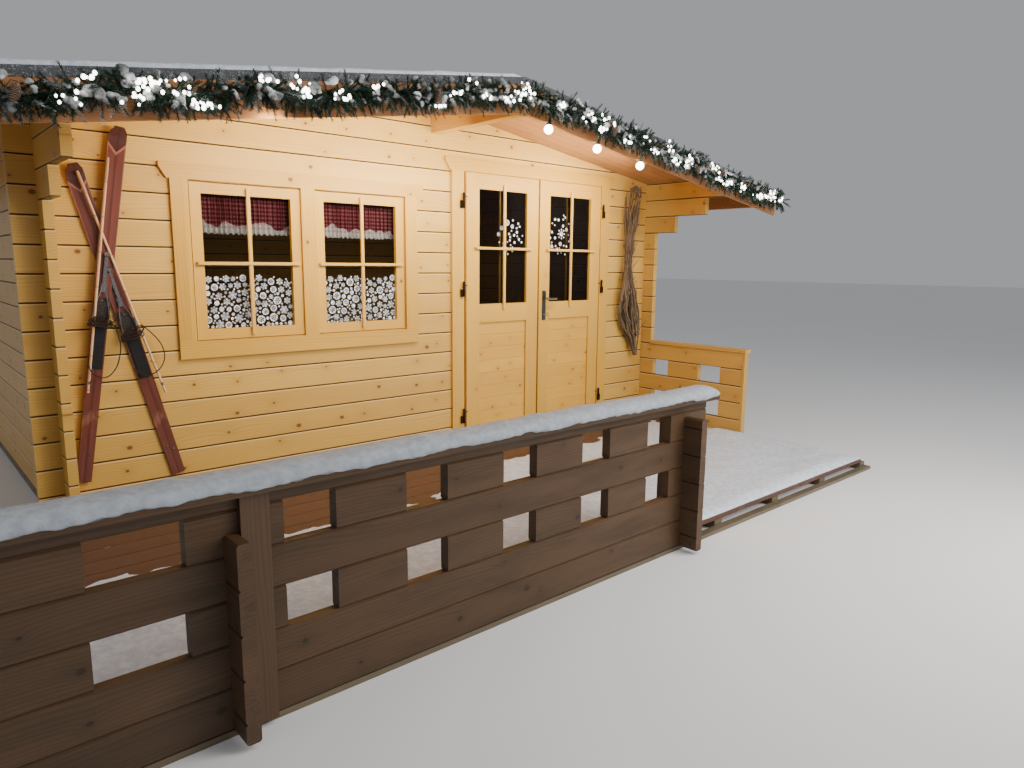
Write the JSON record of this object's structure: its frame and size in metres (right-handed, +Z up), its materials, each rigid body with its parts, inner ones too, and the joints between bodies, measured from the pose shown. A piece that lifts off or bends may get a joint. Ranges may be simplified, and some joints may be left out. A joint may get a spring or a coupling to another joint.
{
  "type": "log-built wooden market hut with terrace",
  "caption": "Log-built wooden market hut with a low gable roof, a double window, a double door that opens outwards, and a terrace with block-pattern railings.",
  "frame": {"origin": "middle of the hut's floor plan, on the level ground, at the underside of the middle bearer", "axes": "+X to the right along the front wall, +Y from the front wall to the back wall, +Z up"},
  "size_m": [6.171, 5.38, 2.412],
  "materials": {
    "logs": "clear lacquered spruce, satin",
    "floor": "planed spruce boards, matt",
    "bearers": "pressure-treated, rough sawn",
    "soffit": "honey-stained spruce boards, satin",
    "felt": "mineral-surfaced roofing felt",
    "joinery": "clear lacquered pine, satin",
    "glass": "clear float glass",
    "iron": "dark lacquered steel",
    "steel": "satin",
    "deck": "weathered red-brown stained boards",
    "railing": "lacquered spruce, weathered",
    "garland": "artificial fir",
    "lamps": "frosted, glowing",
    "skis": "old red-brown varnish, worn",
    "poles": "bamboo",
    "curtains": "gingham cotton with lace edge",
    "twigs": "dry bark"
  },
  "bodies": {
    "hut": {"floor_bearers": "bearers", "floor_boards": "floor", "front_wall_left": "logs", "front_wall_right": "logs", "front_gable": "logs", "back_wall": "logs", "left_wall": "logs", "right_wall": "logs", "ridge_purlin": "logs", "roof_boards_left": "soffit", "roof_boards_right": "soffit", "roof_felt": "felt", "front_fascia": "soffit", "back_fascia": "soffit", "eaves_boards": "soffit", "window_frame": "joinery", "window_casing": "joinery", "window_sash_left": "joinery", "window_sash_right": "joinery", "window_glass": "glass", "door_frame": "joinery", "door_casing": "joinery", "door_threshold": "joinery", "door_hinge_pins": "iron", "terrace_joists": "bearers", "terrace_deck": "deck", "front_railing": "railing", "railing_stubs": "railing", "front_railing_cap": "railing", "side_railing": "logs", "side_railing_cap": "joinery", "railing_end_boards": "joinery", "garland_left": "garland", "garland_right": "garland", "hanging_lamps": "lamps", "ski_upper": "skis", "ski_lower": "skis", "ski_poles": "poles", "window_curtains": "curtains", "twig_bundle": "twigs"},
    "left_leaf": {"door_left_frame": "joinery", "door_left_panel": "joinery", "door_left_glass": "glass", "door_left_hinges": "iron"},
    "right_leaf": {"door_right_frame": "joinery", "door_right_panel": "joinery", "door_right_glass": "glass", "door_right_hinges": "iron", "door_handle_plates": "steel"},
    "lever": {"door_handle_lever": "steel"}
  },
  "joints": [
    {"name": "left_leaf_hinge", "type": "hinge", "parent": "hut", "child": "left_leaf", "pos_m": [0.207, -1.532, 1], "axis": [0, 0, -1], "range_deg": [0, 110]},
    {"name": "right_leaf_hinge", "type": "hinge", "parent": "hut", "child": "right_leaf", "pos_m": [1.622, -1.532, 1], "axis": [0, 0, 1], "range_deg": [0, 110]},
    {"name": "lever_turn", "type": "hinge", "parent": "right_leaf", "child": "lever", "pos_m": [0.978, -1.504, 1.127], "axis": [0, 1, 0], "range_deg": [0, 40], "stiffness_Nm_per_rad": 1, "springref_deg": -22.92}
  ]
}
